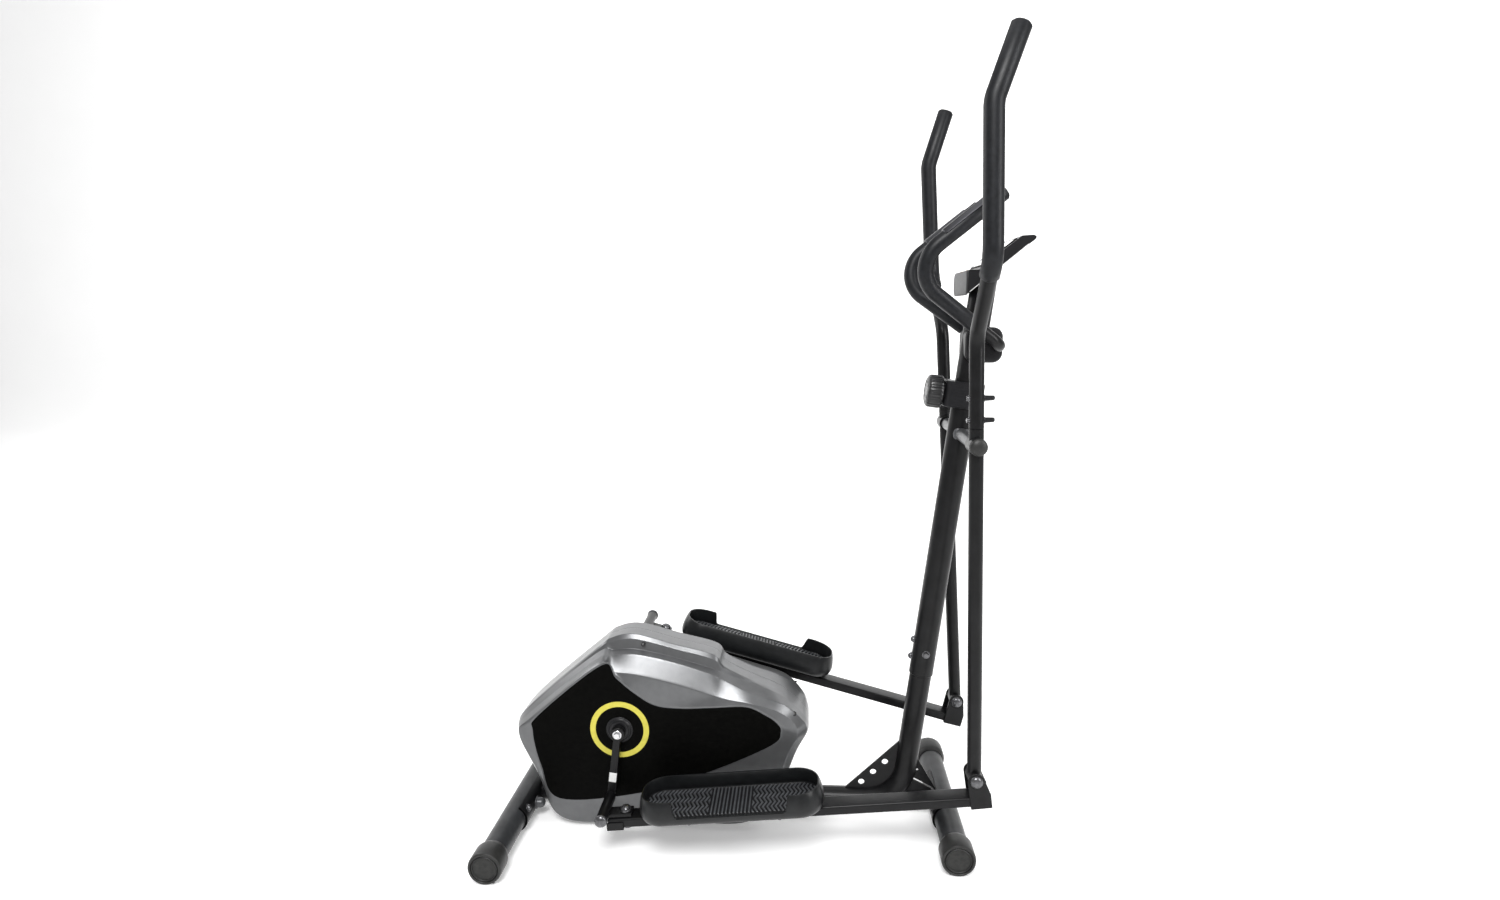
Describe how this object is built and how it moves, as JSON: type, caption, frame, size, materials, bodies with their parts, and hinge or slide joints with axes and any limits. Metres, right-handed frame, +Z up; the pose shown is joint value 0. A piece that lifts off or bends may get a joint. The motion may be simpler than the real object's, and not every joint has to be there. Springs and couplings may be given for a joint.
{
  "type": "elliptical trainer",
  "caption": "Elliptical trainer: swinging handlebars, footplates on pedal arms, belt-driven flywheel in a shell, leaning mast with fixed handlebar, tension knob and console.",
  "frame": {"origin": "on the floor, under the middle of the machine's bounding box", "axes": "+X towards the front, where the mast and console stand; +Y to the user's left; +Z up"},
  "size_m": [1.109, 0.6242, 1.5742],
  "materials": {
    "powder_coat": "satin black powder coat",
    "floor_tube_coat": "satin dark grey powder coat",
    "cap_plastic": "moulded, fine grain",
    "bright_steel": "zinc plated",
    "dark_steel": "blackened",
    "cast_iron": "machined and oiled",
    "silver_plastic": "satin silver paint",
    "black_panel": "smooth black",
    "black_plastic": "fine grain",
    "light_plastic": "fine grain",
    "tread_plastic": "ribbed tread",
    "foam": "closed-cell foam",
    "sensor_metal": "polished",
    "belt_rubber": "matte",
    "screen": "clear window over a grey-green display",
    "key_rubber": "silicone"
  },
  "bodies": {
    "frame": {"brake_spring": "bright_steel", "console_back": "black_plastic", "console_front": "light_plastic", "console_screen": "screen", "crank_bearing_left": "bright_steel", "crank_bearing_right": "bright_steel", "drive_belt": "belt_rubber", "fixed_grip_left": "foam", "fixed_grip_right": "foam", "fixed_handlebar": "powder_coat", "flywheel_axle": "bright_steel", "front_cap_left": "cap_plastic", "front_cap_right": "cap_plastic", "front_stabilizer": "floor_tube_coat", "handlebar_clamp": "black_plastic", "hub_cover_left": "black_plastic", "hub_cover_right": "black_plastic", "main_frame": "powder_coat", "pivot_cap_left": "cap_plastic", "pivot_cap_right": "cap_plastic", "pulse_sensor_left": "sensor_metal", "pulse_sensor_right": "sensor_metal", "rear_cap_left": "cap_plastic", "rear_cap_right": "cap_plastic", "rear_stabilizer": "floor_tube_coat", "shell_left": "silver_plastic", "shell_right": "silver_plastic", "side_panel_left": "black_panel", "side_panel_right": "black_panel", "tension_box": "black_plastic", "tension_cable": "belt_rubber", "upper_mast": "powder_coat"},
    "crank": {"crank_axle": "bright_steel", "crank_arm_right": "powder_coat", "crank_arm_left": "powder_coat", "drive_pulley": "cast_iron"},
    "flywheel": {"flywheel": "cast_iron"},
    "idler": {"belt_idler": "black_plastic"},
    "brake": {"brake_arm": "dark_steel"},
    "knob": {"tension_knob": "black_plastic"},
    "swing_right": {"swing_arm_right": "powder_coat", "handlebar_right": "powder_coat", "handle_foam_right": "foam"},
    "pin_right": {"joint_pin_right": "dark_steel"},
    "pedal_right": {"pedal_arm_right": "powder_coat", "crank_sleeve_right": "powder_coat", "crank_pin_right": "dark_steel", "fork_bolt_right": "dark_steel", "footplate_right": "tread_plastic"},
    "key_right": {"console_key_right": "key_rubber"},
    "swing_left": {"swing_arm_left": "powder_coat", "handlebar_left": "powder_coat", "handle_foam_left": "foam"},
    "pin_left": {"joint_pin_left": "dark_steel"},
    "pedal_left": {"pedal_arm_left": "powder_coat", "crank_sleeve_left": "powder_coat", "crank_pin_left": "dark_steel", "fork_bolt_left": "dark_steel", "footplate_left": "tread_plastic"},
    "key_left": {"console_key_left": "key_rubber"}
  },
  "joints": [
    {"name": "crank_turn", "type": "hinge", "parent": "frame", "child": "crank", "pos_m": [-0.283, 0, 0.2374], "axis": [0, 1, 0], "continuous": true},
    {"name": "flywheel_turn", "type": "hinge", "parent": "frame", "child": "flywheel", "pos_m": [-0.05, 0, 0.165], "axis": [0, 1, 0], "continuous": true},
    {"name": "idler_turn", "type": "hinge", "parent": "frame", "child": "idler", "pos_m": [-0.14531, 0, 0.11281], "axis": [0, 1, 0], "continuous": true},
    {"name": "swing_right_turn", "type": "hinge", "parent": "frame", "child": "swing_right", "pos_m": [0.43424, -0.169, 0.867], "axis": [0, 1, 0], "range_deg": [-12, 12]},
    {"name": "swing_left_turn", "type": "hinge", "parent": "frame", "child": "swing_left", "pos_m": [0.43424, 0.169, 0.867], "axis": [0, 1, 0], "range_deg": [-12, 12]},
    {"name": "fork_pin_right_turn", "type": "hinge", "parent": "swing_right", "child": "pin_right", "pos_m": [0.45347, -0.169, 0.19557], "axis": [0, 1, 0], "range_deg": [-12, 12]},
    {"name": "fork_pin_left_turn", "type": "hinge", "parent": "swing_left", "child": "pin_left", "pos_m": [0.47546, 0.169, 0.19657], "axis": [0, 1, 0], "range_deg": [-12, 12]},
    {"name": "pedal_right_lift", "type": "hinge", "parent": "pin_right", "child": "pedal_right", "pos_m": [0.45347, -0.169, 0.19557], "axis": [0, 1, 0], "range_deg": [0, 21]},
    {"name": "pedal_left_lift", "type": "hinge", "parent": "pin_left", "child": "pedal_left", "pos_m": [0.47546, 0.169, 0.19657], "axis": [0, 1, 0], "range_deg": [-21, 0]},
    {"name": "tension_knob_turn", "type": "hinge", "parent": "frame", "child": "knob", "pos_m": [0.4442, 0, 0.946], "axis": [0.9922, 0, -0.125], "range_deg": [0, 315]},
    {"name": "brake_turn", "type": "hinge", "parent": "frame", "child": "brake", "pos_m": [-0.1522, 0, 0.224], "axis": [0, -1, 0], "range_deg": [0, 6], "deforming": ["brake_spring"]},
    {"name": "key_right_press", "type": "slide", "parent": "frame", "child": "key_right", "axis": [0, 0, -1], "range_m": [0, 0.0015], "stiffness_N_per_m": 300},
    {"name": "key_left_press", "type": "slide", "parent": "frame", "child": "key_left", "axis": [0, 0, -1], "range_m": [0, 0.0015], "stiffness_N_per_m": 300}
  ],
  "couplings": [
    {"joint": "flywheel_turn", "follows": "crank_turn", "ratio": 5.4545},
    {"joint": "idler_turn", "follows": "crank_turn", "ratio": -7.5},
    {"joint": "swing_left_turn", "follows": "swing_right_turn", "ratio": -1},
    {"joint": "fork_pin_right_turn", "follows": "swing_right_turn", "ratio": -1},
    {"joint": "fork_pin_left_turn", "follows": "swing_right_turn", "ratio": 1},
    {"joint": "pedal_left_lift", "follows": "pedal_right_lift", "ratio": -1},
    {"joint": "brake_turn", "follows": "tension_knob_turn", "ratio": 0.019047}
  ]
}
